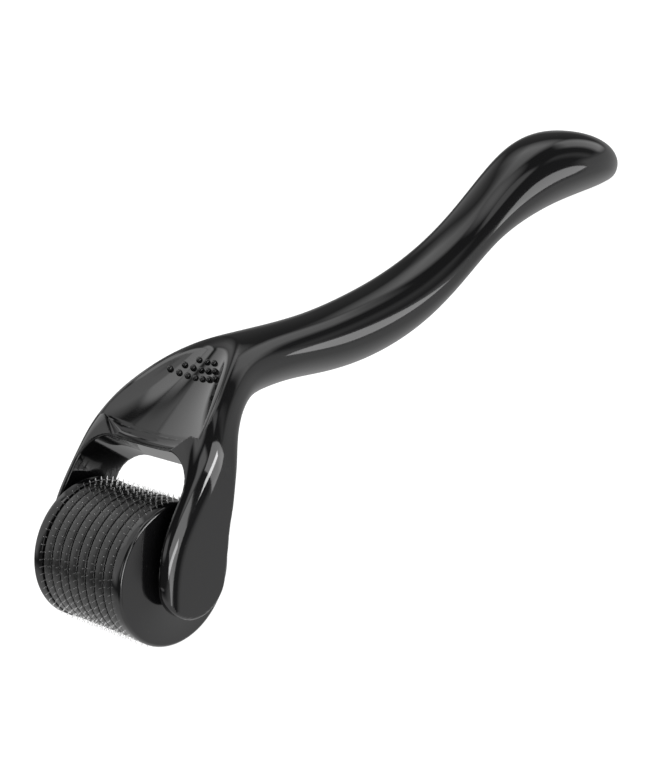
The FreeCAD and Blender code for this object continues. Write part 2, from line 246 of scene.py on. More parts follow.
class SpinePath:
    """Natural cubic splines through the stations over chord length.

    The columns are those of the stations, but with the squares of all widths and reaches, so
    that they close like an ellipse at the tail."""

    def __init__(self, stations):
        values = stations.copy()
        values[:, SQUARED] **= 2
        steps = np.hypot(*np.diff(stations[:, :2], axis=0).T)
        self.knots = np.concatenate([[0.0], np.cumsum(steps)])
        count = len(values)
        system = np.zeros((count, count))
        right = np.zeros_like(values)
        inner = np.arange(1, count - 1)
        system[0, 0] = system[-1, -1] = 1.0
        system[inner, inner - 1] = steps[:-1]
        system[inner, inner] = 2 * (steps[:-1] + steps[1:])
        system[inner, inner + 1] = steps[1:]
        slopes = np.diff(values, axis=0) / steps[:, None]
        right[1:-1] = 6 * np.diff(slopes, axis=0)
        bend = np.linalg.solve(system, right)
        self.start = values[:-1]
        self.first = slopes - steps[:, None] * (2 * bend[:-1] + bend[1:]) / 6
        self.second = bend[:-1] / 2
        self.third = np.diff(bend, axis=0) / (6 * steps[:, None])
        self.length = self.knots[-1]

    def at(self, s):
        """Values and slopes at chord lengths s."""
        i = np.clip(np.searchsorted(self.knots, s, side="right") - 1, 0, len(self.first) - 1)
        u = (s - self.knots[i])[..., None]
        a, b, c, d = self.start[i], self.first[i], self.second[i], self.third[i]
        return a + u * (b + u * (c + u * d)), b + u * (2 * c + 3 * u * d)

    def nearest(self, y, z, s=None):
        """Chord length of the line's nearest point: a coarse search, then Gauss-Newton steps."""
        if s is None:
            table = np.linspace(0, self.length, COARSE_STEPS)
            line, _ = self.at(table)
            flat_y, flat_z = y.ravel(), z.ravel()
            flat_s = np.empty(flat_y.size)
            batches = max(1, flat_y.size // POINTS_AT_A_TIME)
            for part in np.array_split(np.arange(flat_y.size), batches):
                gap = (flat_y[part, None] - line[:, 0]) ** 2 + (flat_z[part, None] - line[:, 1]) ** 2
                flat_s[part] = table[np.argmin(gap, axis=1)]
            s = flat_s.reshape(y.shape)
        for _ in range(5):
            value, slope = self.at(s)
            ty, tz = slope[..., 0], slope[..., 1]
            along = (y - value[..., 0]) * ty + (z - value[..., 1]) * tz
            s = np.clip(s + along / (ty**2 + tz**2), 0, self.length)
        return s


SPINE = SpinePath(STATIONS)


def rounded_max(a, b, radius):
    """The common part of two solids, with a round of this radius along the edge they share."""
    inner = np.minimum(np.maximum(a, b), -radius)
    return inner + np.hypot(np.maximum(a + radius, 0), np.maximum(b + radius, 0))


def smooth_share(value, start, end):
    """0 before start, 1 after end, and a smooth step between them."""
    share = np.clip((value - start) / (end - start), 0, 1)
    return share * share * (3 - 2 * share)


def handle_distance(x, y, z, s):
    """Signed distance to the handle's surface, less than 0 inside; s is the nearest line point.

    The skin's section is a box with superellipse corners about the line. The arms are cut flat
    at the flanks and round at the axle. The window is a rounded slot on a sloping plane, and the
    thumb rest a trough whose radius shrinks towards the neck. The cove is a slot with a round
    bottom and pointed ends. Each edge where two of these meet has its own small round."""
    value, slope = SPINE.at(s)
    ty, tz = slope[..., 0], slope[..., 1]
    reach = np.hypot(ty, tz)
    rise = ((z - value[..., 1]) * ty - (y - value[..., 0]) * tz) / reach
    wide, thick, front_x, front_y, back_x, back_y = (
        np.sqrt(np.maximum(value[..., column], SMALLEST_SQUARE)) for column in SQUARED
    )
    power = value[..., 4]
    across = np.abs(x)
    corner_x = np.minimum(np.where(rise > 0, front_x, back_x), wide)
    corner_y = np.minimum(np.where(rise > 0, front_y, back_y), thick)
    out = np.maximum(1 - (wide - across) / corner_x, 0)
    up = np.maximum(1 - (thick - np.abs(rise)) / corner_y, 0)
    level = (out**power + up**power) ** (1 / power) + 1e-9
    slope_x = out ** (power - 1) / corner_x
    slope_y = up ** (power - 1) / corner_y
    steep = level ** (1 - power) * np.hypot(slope_x, slope_y)
    solid = np.clip((level - 1) / (steep + 1e-6), FAR_INSIDE, FAR_OUTSIDE)

    solid = rounded_max(solid, across - FLANK, ARM_EDGE)
    below = np.hypot(y - LOBE_Y, z) - LOBE_RADIUS
    lobe = np.where(z < 0, below, np.minimum(np.abs(y - LOBE_Y) - LOBE_RADIUS, 0) - z)
    solid = rounded_max(solid, lobe, ARM_EDGE)

    height = (y - WINDOW_FRONT[0]) * math.sin(WINDOW_SLOPE)
    height = height + (z - WINDOW_FRONT[1]) * math.cos(WINDOW_SLOPE)
    side = across - (WINDOW_HALF - WINDOW_CORNER)
    roof = height + WINDOW_CORNER
    window = np.hypot(np.maximum(side, 0), np.maximum(roof, 0)) - WINDOW_CORNER
    window = window + np.minimum(np.maximum(side, roof), 0)
    solid = rounded_max(solid, -window, WINDOW_EDGE)

    c, n = math.cos(DISH_SLOPE), math.sin(DISH_SLOPE)
    along = (y - DISH_LIP[0]) * c + (z - DISH_LIP[1]) * n
    above = (z - DISH_LIP[1]) * c - (y - DISH_LIP[0]) * n
    share = np.clip(along / DISH_LENGTH, 0, 1)
    radius = DISH_LIP_RADIUS * (DISH_NECK_RADIUS / DISH_LIP_RADIUS) ** share
    dish = np.hypot(x, above - radius) - radius
    dish = np.maximum(dish, -along)
    rim = LIP_EDGE + (RIM_EDGE - LIP_EDGE) * smooth_share(along, RIM_START, RIM_END)
    solid = rounded_max(solid, -dish, rim)

    outward = np.clip((across - COVE_HALF) / (COVE_TIP_X - COVE_HALF), 0, 1)
    cove_radius = COVE_RADIUS * (1 - outward) + COVE_TIP_RADIUS
    lip_above = DISH_LIP_RADIUS - np.sqrt(DISH_LIP_RADIUS**2 - np.minimum(across, COVE_TIP_X) ** 2)
    cove_along = -cove_radius * math.sin(COVE_TURN)
    cove_above = lip_above + cove_radius * math.cos(COVE_TURN)
    cove = np.hypot(along - cove_along, np.minimum(above - cove_above, 0)) - cove_radius
    cove = cove * COVE_TAPER_SHARE
    cove = np.maximum(cove, across - COVE_TIP_X)
    solid = rounded_max(solid, -cove, LIP_EDGE)

    socket = np.maximum(np.hypot(y, z) - SOCKET_RADIUS, across - SOCKET_END)
    return np.maximum(solid, -socket)


def steps_between(*stops):
    """Grid lines from stop to stop, each stretch with its own spacing: (end, spacing), ..."""
    lines = [np.array([stops[0]])]
    for end, spacing in stops[1:]:
        start = lines[-1][-1]
        count = max(1, round((end - start) / spacing))
        lines.append(np.linspace(start, end, count + 1)[1:])
    return np.concatenate(lines)


def surface_of(distance_on_grid, xs, ys, zs):
    """The zero surface on a grid, by surface nets: one point in each cell that the surface
    crosses, the mean of the crossings on its edges, and one face across each crossed edge."""
    inside = distance_on_grid < 0
    shape = np.array(inside.shape) - 1
    corners = [(i, j, k) for i in (0, 1) for j in (0, 1) for k in (0, 1)]

    def shifted(array, corner):
        i, j, k = corner
        return array[i:i + shape[0], j:j + shape[1], k:k + shape[2]]

    filled = sum(shifted(inside, corner).astype(np.int8) for corner in corners)
    cells = np.argwhere((filled > 0) & (filled < 8))
    number = np.full(shape, -1, dtype=np.int64)
    number[tuple(cells.T)] = np.arange(len(cells))

    total = np.zeros((len(cells), 3))
    count = np.zeros(len(cells))
    grid = (xs, ys, zs)
    for axis in range(3):
        others = [a for a in range(3) if a != axis]
        for first in (0, 1):
            for second in (0, 1):
                low = cells.copy()
                low[:, others[0]] += first
                low[:, others[1]] += second
                high = low.copy()
                high[:, axis] += 1
                a = distance_on_grid[tuple(low.T)]
                b = distance_on_grid[tuple(high.T)]
                crossed = (a < 0) != (b < 0)
                part = np.where(crossed, a / np.where(crossed, a - b, 1), 0)
                for k in range(3):
                    place = grid[k][low[:, k]]
                    if k == axis:
                        place = place + part * (grid[k][high[:, k]] - place)
                    total[:, k] += np.where(crossed, place, 0)
                count += crossed
    points = total / count[:, None]

    faces = []
    for axis in range(3):
        others = [a for a in range(3) if a != axis]
        if axis == 1:
            others = others[::-1]
        low = [slice(1, -1)] * 3
        high = [slice(1, -1)] * 3
        low[axis] = slice(0, -1)
        high[axis] = slice(1, None)
        a, b = inside[tuple(low)], inside[tuple(high)]
        edges = np.argwhere(a != b)
        leaving = a[tuple(edges.T)]
        edges[:, others[0]] += 1
        edges[:, others[1]] += 1
        ring = []
        for first, second in ((-1, -1), (0, -1), (0, 0), (-1, 0)):
            cell = edges.copy()
            cell[:, others[0]] += first
            cell[:, others[1]] += second
            ring.append(number[tuple(cell.T)])
        quads = np.stack(ring, axis=1)
        faces.append(np.where(leaving[:, None], quads, quads[:, ::-1]))
    return points, np.concatenate(faces)


def settle_on_surface(points):
    """Move points onto the handle's surface by Newton steps and give its normals there."""
    for number in range(SETTLE_ROUNDS + 1):
        x, y, z = points.T
        s = SPINE.nearest(y, z)
        slope = []
        for axis in range(3):
            shift = np.zeros(3)
            shift[axis] = SLOPE_STEP
            ahead = (points + shift).T
            behind = (points - shift).T
            slope.append(
                handle_distance(*ahead, SPINE.nearest(ahead[1], ahead[2], s))
                - handle_distance(*behind, SPINE.nearest(behind[1], behind[2], s))
            )
        slope = np.stack(slope, axis=1) / (2 * SLOPE_STEP)
        size = np.linalg.norm(slope, axis=1, keepdims=True) + 1e-9
        normals = slope / size
        if number < SETTLE_ROUNDS:
            gap = handle_distance(x, y, z, s)[:, None] / size
            points = points - normals * np.clip(gap, -LONGEST_MOVE, LONGEST_MOVE)
    return points, normals


def handle_shell():
    """The handle as one closed skin."""
    xs, ys, zs = (steps_between(*stops) for stops in (GRID_X, GRID_Y, GRID_Z))
    y, z = np.meshgrid(ys, zs, indexing="ij")
    s = SPINE.nearest(y, z)
    distance = np.stack([handle_distance(x, y, z, s) for x in xs])
    points, quads = surface_of(distance, xs, ys, zs)
    points, normals = settle_on_surface(points)
    return mesh_piece("handle_shell", to_floor(points), quads, normals=turn_only(normals))


def grip_bumps():
    """Fifteen domes on the thumb rest: balls by latitude and longitude, half sunk in the dish."""
    centres = []
    normal = np.array([0.0, -math.sin(DISH_SLOPE), math.cos(DISH_SLOPE)])
    for count, y, z in BUMP_ROWS:
        x = (np.arange(count) - (count - 1) / 2) * BUMP_PITCH
        rise = BUMP_BED_RADIUS - np.sqrt(BUMP_BED_RADIUS**2 - x**2)
        row = np.stack([x, np.full(count, y), np.full(count, z)], axis=1)
        centres.append(row + rise[:, None] * normal)
    centres = np.concatenate(centres)
    rows, columns = BUMP_ROWS_OF_POINTS, BUMP_POINTS_ROUND
    polar = np.linspace(POLE_ANGLE, math.pi - POLE_ANGLE, rows)[:, None]
    turn = np.arange(columns)[None, :] * 2 * math.pi / columns
    ball = np.stack([
        np.sin(polar) * np.cos(turn), np.sin(polar) * np.sin(turn), np.cos(polar) + 0 * turn,
    ], axis=-1).reshape(-1, 3) * BUMP_RADIUS
    points = (centres[:, None, :] + ball[None]).reshape(-1, 3)
    offsets = np.arange(len(centres))[:, None, None] * len(ball)
    quads = (grid_quads(rows, columns)[None] + offsets).reshape(-1, 4)
    caps = end_caps(rows, columns, len(centres))
    piece = mesh_piece("grip_bumps", to_floor(points), quads, caps)
    face_outwards(piece)
    return piece


# ---------------------------------------------------------------- drum

def arc(centre_x, centre_r, radius, start, end, count):
    """Points of an arc in the plane of x and radius, angles from +x towards outwards."""
    angle = np.radians(np.linspace(start, end, count))
    return np.stack([centre_x + radius * np.cos(angle), centre_r + radius * np.sin(angle)], axis=1)


def turned_piece(name, profile, segments, closed, sharp_angle):
    """A profile of (x, radius) turned about the axle. A closed profile's two ends are joined,
    and an open one's ends, which lie next to the axle, are capped."""
    turn = np.arange(segments) * 2 * math.pi / segments
    rows = len(profile)
    x = np.repeat(profile[:, 0], segments)
    radius = np.repeat(profile[:, 1], segments)
    angle = np.tile(turn, rows)
    points = np.stack([x, radius * np.cos(angle), radius * np.sin(angle)], axis=1)
    quads = grid_quads(rows, segments)
    caps = None
    if closed:
        quads = np.concatenate([quads, seam_quads(rows, segments)])
    else:
        caps = end_caps(rows, segments)
    piece = mesh_piece(name, to_floor(points), quads, caps)
    face_outwards(piece)
    piece.data.set_sharp_from_angle(angle=math.radians(sharp_angle))
    return piece


def spacer_ring(index):
    """A ring whose tread is crowned and whose two edges are rounded."""
    middle = (index - 3.5) * DISC_PITCH
    half = (DISC_PITCH - DISC_THICKNESS) / 2
    flat = half - RING_EDGE
    edge_height = RING_RADIUS - RING_CROWN - RING_EDGE
    left = arc(-flat, edge_height, RING_EDGE, 180, 96, 7)
    right = arc(flat, edge_height, RING_EDGE, 84, 0, 7)
    across = np.linspace(-RING_TREAD_SHARE, RING_TREAD_SHARE, 7) * flat
    tread = np.stack([across, RING_RADIUS - RING_CROWN * (across / flat) ** 2], axis=1)
    profile = np.concatenate([[(-half, DISC_BORE)], left, tread, right, [(half, DISC_BORE)]])
    profile[:, 0] += middle
    return turned_piece(f"ring_{index + 1}", profile, RING_SEGMENTS, True, RING_SHARP_ANGLE)


def end_cap(name, side):
    """Cap with a spigot in the core, a rounded rim, a thrust boss and a stub axle."""
    face = STACK_HALF + CAP_THICKNESS
    boss_end = face + BOSS_HEIGHT
    profile = np.concatenate([
        [(STACK_HALF - SPIGOT_LENGTH, AXLE_DIMPLE), (STACK_HALF - SPIGOT_LENGTH, SPIGOT_RADIUS)],
        [(STACK_HALF, SPIGOT_RADIUS)],
        arc(STACK_HALF + CAP_BACK_EDGE, CAP_RADIUS - CAP_BACK_EDGE, CAP_BACK_EDGE, 180, 90, 4),
        arc(face - CAP_EDGE, CAP_RADIUS - CAP_EDGE, CAP_EDGE, 90, 0, 10),
        [(face, BOSS_RADIUS + BOSS_EDGE), (face + BOSS_FOOT, BOSS_RADIUS + BOSS_FOOT)],
        [(face + BOSS_EDGE, BOSS_RADIUS)],
        arc(boss_end - BOSS_EDGE, BOSS_RADIUS - BOSS_EDGE, BOSS_EDGE, 90, 0, 4),
        [(boss_end, STUB_RADIUS), (STUB_END - BOSS_EDGE, STUB_RADIUS)],
        [(STUB_END, STUB_RADIUS - BOSS_EDGE), (STUB_END, AXLE_DIMPLE)],
    ])
    profile[:, 0] *= side
    return turned_piece(name, profile, CAP_SEGMENTS, False, CAP_SHARP_ANGLE)


def disc_turn(index):
    """How far a disc is turned, as an angle within one tooth's space: the mean angle of the
    tips of its CAD node, counted sixty times round so that all the tips agree."""
    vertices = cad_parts[f"needle_disc_{index + 1}"].data.vertices
    places = np.empty(len(vertices) * 3, dtype=np.float32)
    vertices.foreach_get("co", places)
    _, y, z = ((places.reshape(-1, 3) - np.array([0.0, AXLE_Y, AXLE_Z])) / MM).T
    tips = np.hypot(y, z) > (NEEDLE_WAIST + NEEDLE_TIP) / 2
    angle = np.arctan2(-y[tips], z[tips]) + REST_TILT
    return np.angle(np.exp(1j * NEEDLES * angle).mean()) / NEEDLES


def needle_disc(index):
    """A thin toothed plate: the tooth outline is repeated round the disc, and the plate thins
    towards each tip. A row of the grid is one outline, and the four rows are the bore and the
    teeth on one side, then the teeth and the bore on the other."""
    radius = np.array([
        NEEDLE_ROOT, NEEDLE_ROOT, NEEDLE_WAIST, NEEDLE_TIP, NEEDLE_TIP, NEEDLE_WAIST, NEEDLE_ROOT,
    ])
    sideways = np.array([
        -TOOTH_START, -NEEDLE_ROOT_HALF, -NEEDLE_WAIST_HALF, -NEEDLE_TIP_HALF,
        NEEDLE_TIP_HALF, NEEDLE_WAIST_HALF, NEEDLE_ROOT_HALF,
    ])
    waist, tip = NEEDLE_WAIST_THINNING, NEEDLE_TIP_THINNING
    half = np.array([1, 1, waist, tip, tip, waist, 1]) * DISC_THICKNESS / 2
    tooth = disc_turn(index) + np.arange(NEEDLES)[:, None] * 2 * math.pi / NEEDLES
    angle = (tooth + np.arctan2(sideways, radius)[None]).ravel()
    radius = np.tile(radius, NEEDLES)
    half = np.tile(half, NEEDLES)
    bore = np.full(len(angle), DISC_BORE)
    bore_half = np.full(len(angle), DISC_THICKNESS / 2)
    middle = (index - 4) * DISC_PITCH
    rings = []
    for x, r in ((-bore_half, bore), (-half, radius), (half, radius), (bore_half, bore)):
        rings.append(np.stack([middle + x, -r * np.sin(angle), r * np.cos(angle)], axis=1))
    quads = np.concatenate([grid_quads(4, len(angle)), seam_quads(4, len(angle))])
    piece = mesh_piece(f"needles_{index + 1}", to_floor(np.concatenate(rings)), quads)
    face_outwards(piece)
    piece.data.set_sharp_from_angle(angle=math.radians(NEEDLE_SHARP_ANGLE))
    return piece


# ---------------------------------------------------------------- materials

HAZE_SCALE = 420.0
DUST_SCALE = 900.0
DUST_SIZE = 0.06
DUST_PATCH_SCALE = 60.0
DUST_PATCH_START = 0.62


def new_group(name, inputs, outputs):
    """An empty shader node group with inputs (name, default) and outputs, all of them numbers;
    gives the group and its two end nodes."""
    group = bpy.data.node_groups.new(name, "ShaderNodeTree")
    kind = "NodeSocketFloat"
    for label, value in inputs:
        socket = group.interface.new_socket(label, in_out="INPUT", socket_type=kind)
        socket.default_value = value
    for label in outputs:
        group.interface.new_socket(label, in_out="OUTPUT", socket_type=kind)
    return group, group.nodes.new("NodeGroupInput"), group.nodes.new("NodeGroupOutput")


def math_node(tree, operation, a, b=None, c=None, clamp=False):
    """A Math node whose inputs are sockets or numbers; gives its output."""
    node = tree.nodes.new("ShaderNodeMath")
    node.operation = operation
    node.use_clamp = clamp
    for socket, value in zip(node.inputs, (a, b, c)):
        if value is None:
            continue
        if isinstance(value, bpy.types.NodeSocket):
            tree.links.new(value, socket)
        else:
            socket.default_value = value
    return node.outputs[0]


def noise_node(tree, coordinates, scale, detail=3.0, rough=0.55):
    """A Noise node over the given coordinates; gives its factor."""
    node = tree.nodes.new("ShaderNodeTexNoise")
    tree.links.new(coordinates, node.inputs["Vector"])
    node.inputs["Detail"].default_value = detail
    node.inputs["Roughness"].default_value = rough
    if isinstance(scale, bpy.types.NodeSocket):
        tree.links.new(scale, node.inputs["Scale"])
    else:
        node.inputs["Scale"].default_value = scale
    return node.outputs[0]


def moulded_gloss():
    """Gloss of a polished mould: a faint slow ripple, a fine haze and rare specks of dust."""
    group, given, made = new_group(
        "moulded_gloss",
        (("Low Roughness", 0.04), ("High Roughness", 0.1), ("Ripple Scale", 180.0)),
        ("Roughness", "Height", "Dust"),
    )
    place = group.nodes.new("ShaderNodeTexCoord").outputs["Object"]
    haze = noise_node(group, place, HAZE_SCALE, 4.0, 0.6)
    ripple = noise_node(group, place, given.outputs["Ripple Scale"], 1.0, 0.4)
    span = math_node(group, "SUBTRACT", given.outputs["High Roughness"], given.outputs["Low Roughness"])
    rough = math_node(group, "MULTIPLY_ADD", span, haze, given.outputs["Low Roughness"])
    specks = group.nodes.new("ShaderNodeTexVoronoi")
    specks.inputs["Scale"].default_value = DUST_SCALE
    group.links.new(place, specks.inputs["Vector"])
    near = math_node(group, "LESS_THAN", specks.outputs["Distance"], DUST_SIZE)
    patches = noise_node(group, place, DUST_PATCH_SCALE, 2.0)
    patch = math_node(group, "GREATER_THAN", patches, DUST_PATCH_START)
    dust = math_node(group, "MULTIPLY", near, patch)
    group.links.new(rough, made.inputs["Roughness"])
    group.links.new(ripple, made.inputs["Height"])
    group.links.new(dust, made.inputs["Dust"])
    return group


def turning_marks():
    """Fine rings round the axle: noise that changes fast along the axle and slowly round it."""
    group, given, made = new_group(
        "turning_marks", (("Fineness", 9000.0), ("Wander", 6.0)), ("Marks", "Scuffs")
    )
    place = group.nodes.new("ShaderNodeTexCoord").outputs["Object"]
    split = group.nodes.new("ShaderNodeSeparateXYZ")
    group.links.new(place, split.inputs[0])
    y = math_node(group, "SUBTRACT", split.outputs["Y"], AXLE_Y)
    z = math_node(group, "SUBTRACT", split.outputs["Z"], AXLE_Z)
    angle = math_node(group, "ARCTAN2", z, y)
    wave_y = math_node(group, "MULTIPLY", math_node(group, "COSINE", angle), given.outputs["Wander"])
    wave_z = math_node(group, "MULTIPLY", math_node(group, "SINE", angle), given.outputs["Wander"])
    joined = group.nodes.new("ShaderNodeCombineXYZ")
    along = math_node(group, "MULTIPLY", split.outputs["X"], given.outputs["Fineness"])
    for wave, socket in zip((along, wave_y, wave_z), joined.inputs):
        group.links.new(wave, socket)
    marks = noise_node(group, joined.outputs[0], 1.0, 3.0, 0.65)
    scuffs = noise_node(group, joined.outputs[0], 0.35, 2.0, 0.5)
    group.links.new(marks, made.inputs["Marks"])
    group.links.new(scuffs, made.inputs["Scuffs"])
    return group


def blank_material(name, base, metallic=0.0):
    """A material with a Principled shader; gives the material, its tree and the shader."""
    material = bpy.data.materials.new(name)
    material.use_nodes = True
    shader = material.node_tree.nodes["Principled BSDF"]
    shader.inputs["Base Color"].default_value = (*base, 1)
    shader.inputs["Metallic"].default_value = metallic
    return material, material.node_tree, shader


def place_group(tree, group, **values):
    """A group node with its own values; names have _ for a space."""
    node = tree.nodes.new("ShaderNodeGroup")
    node.node_tree = group
    for label, value in values.items():
        node.inputs[label.replace("_", " ")].default_value = value
    return node


def tint(tree, share, low, high):
    """A colour between two, by a share."""
    node = tree.nodes.new("ShaderNodeMix")
    node.data_type = "RGBA"
    node.inputs["A"].default_value = (*low, 1)
    node.inputs["B"].default_value = (*high, 1)
    tree.links.new(share, node.inputs["Factor"])
    return node.outputs["Result"]


def bump(tree, shader, height, distance):
    """A Bump node from a height between 0 and 1, which stands for this many millimetres, to the
    shader's normal."""
    node = tree.nodes.new("ShaderNodeBump")
    node.inputs["Strength"].default_value = 1.0
    node.inputs["Distance"].default_value = distance * MM
    tree.links.new(height, node.inputs["Height"])
    tree.links.new(node.outputs[0], shader.inputs["Normal"])


def glossy_plastic(name, gloss, low, high, ripple_size):
    """Black plastic from a polished mould."""
    material, tree, shader = blank_material(name, (0.003, 0.003, 0.003))
    node = place_group(tree, gloss, Low_Roughness=low, High_Roughness=high)
    tree.links.new(node.outputs["Roughness"], shader.inputs["Roughness"])
    colour = tint(tree, node.outputs["Dust"], (0.0028, 0.0028, 0.003), (0.02, 0.02, 0.02))
    tree.links.new(colour, shader.inputs["Base Color"])
    bump(tree, shader, node.outputs["Height"], ripple_size)
    return material


def ring_plastic(gloss, turning):
    """The rings' satin black plastic with fine turned lines."""
    material, tree, shader = blank_material("ring_plastic", (0.005, 0.005, 0.005))
    node = place_group(tree, turning, Fineness=7000.0, Wander=5.0)
    smooth = place_group(tree, gloss, Low_Roughness=0.12, High_Roughness=0.22)
    rough = math_node(tree, "MULTIPLY_ADD", node.outputs["Scuffs"], 0.18, smooth.outputs["Roughness"])
    tree.links.new(rough, shader.inputs["Roughness"])
    colour = tint(tree, node.outputs["Marks"], (0.003, 0.003, 0.003), (0.012, 0.012, 0.012))
    tree.links.new(colour, shader.inputs["Base Color"])
    bump(tree, shader, node.outputs["Marks"], 0.012)
    return material


def needle_steel(turning):
    """Bright stamped steel with fine rolling marks."""
    material, tree, shader = blank_material("needle_steel", (0.9, 0.9, 0.9), metallic=1.0)
    node = place_group(tree, turning, Fineness=20000.0, Wander=40.0)
    rough = math_node(tree, "MULTIPLY_ADD", node.outputs["Marks"], 0.2, 0.16)
    tree.links.new(rough, shader.inputs["Roughness"])
    colour = tint(tree, node.outputs["Scuffs"], (0.66, 0.66, 0.67), (0.86, 0.86, 0.85))
    tree.links.new(colour, shader.inputs["Base Color"])
    return material


GLOSS = moulded_gloss()
TURNING = turning_marks()
HANDLE_BLACK = glossy_plastic("handle_black", GLOSS, 0.05, 0.085, 0.004)
CAP_BLACK = glossy_plastic("cap_black", GLOSS, 0.06, 0.12, 0.004)
RING_BLACK = ring_plastic(GLOSS, TURNING)
STEEL = needle_steel(TURNING)


def finish_piece(piece, material, body, slot, *nodes):
    """Give a piece its material and its body, and hide the CAD nodes that it stands for; the slot is
    not used.
    """
    piece.data.materials.clear()
    piece.data.materials.append(material)
    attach(piece, body)
    if nodes:
        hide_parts(*nodes)


finish_piece(handle_shell(), HANDLE_BLACK, "grip", "handle_plastic", "handle")
finish_piece(grip_bumps(), HANDLE_BLACK, "grip", "handle_plastic")
for cap_name, cap_side in (("left", -1), ("right", 1)):
    cap = end_cap(f"cap_{cap_name}", cap_side)
    finish_piece(cap, CAP_BLACK, "drum", "drum_plastic", f"end_cap_{cap_name}")
for disc in range(9):
    finish_piece(needle_disc(disc), STEEL, "drum", "needle_steel", f"needle_disc_{disc + 1}")
for ring in range(8):
    finish_piece(spacer_ring(ring), RING_BLACK, "drum", "drum_plastic", f"spacer_ring_{ring + 1}")
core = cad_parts["drum_core"]
core.data.materials.clear()
core.data.materials.append(CAP_BLACK)


# ---------------------------------------------------------------- studio

STUDIO_MIDDLE = np.array([0.012, -0.045, 0.02])

# Near lamps: azimuth, elevation, width, height and lean in degrees, radiance, and distance in
# metres. Each softbox has a brighter core.
SOFTBOXES = {
    "softbox_near": (61, 3, 27, 62, 25, 3.4, 0.32),
    "softbox_near_core": (68, 2, 27, 9, 0, 14.0, 0.3),
    "softbox_far": (107, 6, 34, 40, 22, 3.2, 0.32),
    "softbox_far_core": (112, 0, 28, 7, 0, 8.0, 0.3),
}

FLOOR_HALF = 4.0
FLOOR_GREY = 0.25
FLOOR_GLOW = 0.96


def direction(azimuth, elevation):
    """Unit vector: azimuth in degrees from +Y towards +X, elevation above the floor."""
    a, e = math.radians(azimuth), math.radians(elevation)
    return np.array([math.sin(a) * math.cos(e), math.cos(a) * math.cos(e), math.sin(e)])


def softbox(name, azimuth, elevation, width, height, lean, radiance, distance):
    """A near rectangular lamp in a direction from the head, its sizes as angles in degrees;
    lean turns its top towards a greater azimuth. The camera itself doesn't see it."""
    away = direction(azimuth, elevation)
    level = np.cross(away, (0.0, 0.0, 1.0))
    level /= np.linalg.norm(level)
    upright = np.cross(level, away)
    c, s = math.cos(math.radians(lean)), math.sin(math.radians(lean))
    axis_x, axis_y = c * level - s * upright, s * level + c * upright
    lamp = bpy.data.lights.new(name, "AREA")
    lamp.shape = "RECTANGLE"
    lamp.size = 2 * distance * math.tan(math.radians(width / 2))
    lamp.size_y = 2 * distance * math.tan(math.radians(height / 2))
    lamp.energy = radiance * lamp.size * lamp.size_y * math.pi
    box = bpy.data.objects.new(name, lamp)
    bpy.context.scene.collection.objects.link(box)
    matrix = np.eye(4)
    matrix[:3, 0], matrix[:3, 1], matrix[:3, 2] = -axis_x, axis_y, away
    matrix[:3, 3] = STUDIO_MIDDLE + away * distance
    box.matrix_world = Matrix(matrix.tolist())
    box.visible_camera = False


def floor_plane():
    """A wide pale floor at the object's lowest point, evenly lit; the gloss sees the studio's
    lit sweep in its place."""
    corners = np.array([(-1, -1, 0), (1, -1, 0), (1, 1, 0), (-1, 1, 0)]) * FLOOR_HALF
    floor = mesh_piece("floor", corners, np.array([[0, 1, 2, 3]]))
    material, _, shader = blank_material("pale_floor", (FLOOR_GREY, FLOOR_GREY, FLOOR_GREY))
    shader.inputs["Roughness"].default_value = 0.9
    shader.inputs["Specular IOR Level"].default_value = 0.0
    shader.inputs["Emission Color"].default_value = (1, 1, 1, 1)
    shader.inputs["Emission Strength"].default_value = FLOOR_GLOW
    floor.data.materials.append(material)
    floor.visible_glossy = False
    floor.visible_shadow = False


def studio_panel():
    """One panel of the studio's wall, by azimuth and elevation in degrees: its light fades to
    nothing over the soft width that straddles each edge."""
    group, given, made = new_group(
        "studio_panel",
        (
            ("Azimuth", 0.0), ("Elevation", 0.0), ("Middle Azimuth", 0.0), ("Middle Elevation", 0.0),
            ("Half Width", 10.0), ("Half Height", 10.0), ("Lean", 0.0), ("Soft", 4.0),
            ("Radiance", 1.0),
        ),
        ("Light",),
    )
    out = given.outputs
    up = math_node(group, "SUBTRACT", out["Elevation"], out["Middle Elevation"])
    side = math_node(group, "SUBTRACT", out["Azimuth"], out["Middle Azimuth"])
    side = math_node(group, "WRAP", side, 180.0, -180.0)
    side = math_node(group, "SUBTRACT", side, math_node(group, "MULTIPLY", up, out["Lean"]))
    shares = []
    for offset, half in ((side, out["Half Width"]), (up, out["Half Height"])):
        past = math_node(group, "SUBTRACT", half, math_node(group, "ABSOLUTE", offset))
        fade = math_node(group, "DIVIDE", past, out["Soft"])
        shares.append(math_node(group, "MULTIPLY_ADD", fade, 0.5, 0.5, clamp=True))
    both = math_node(group, "MULTIPLY", shares[0], shares[1])
    smooth = math_node(group, "SMOOTH_MIN", both, 1.0, 0.1)
    group.links.new(math_node(group, "MULTIPLY", smooth, out["Radiance"]), made.inputs["Light"])
    return group


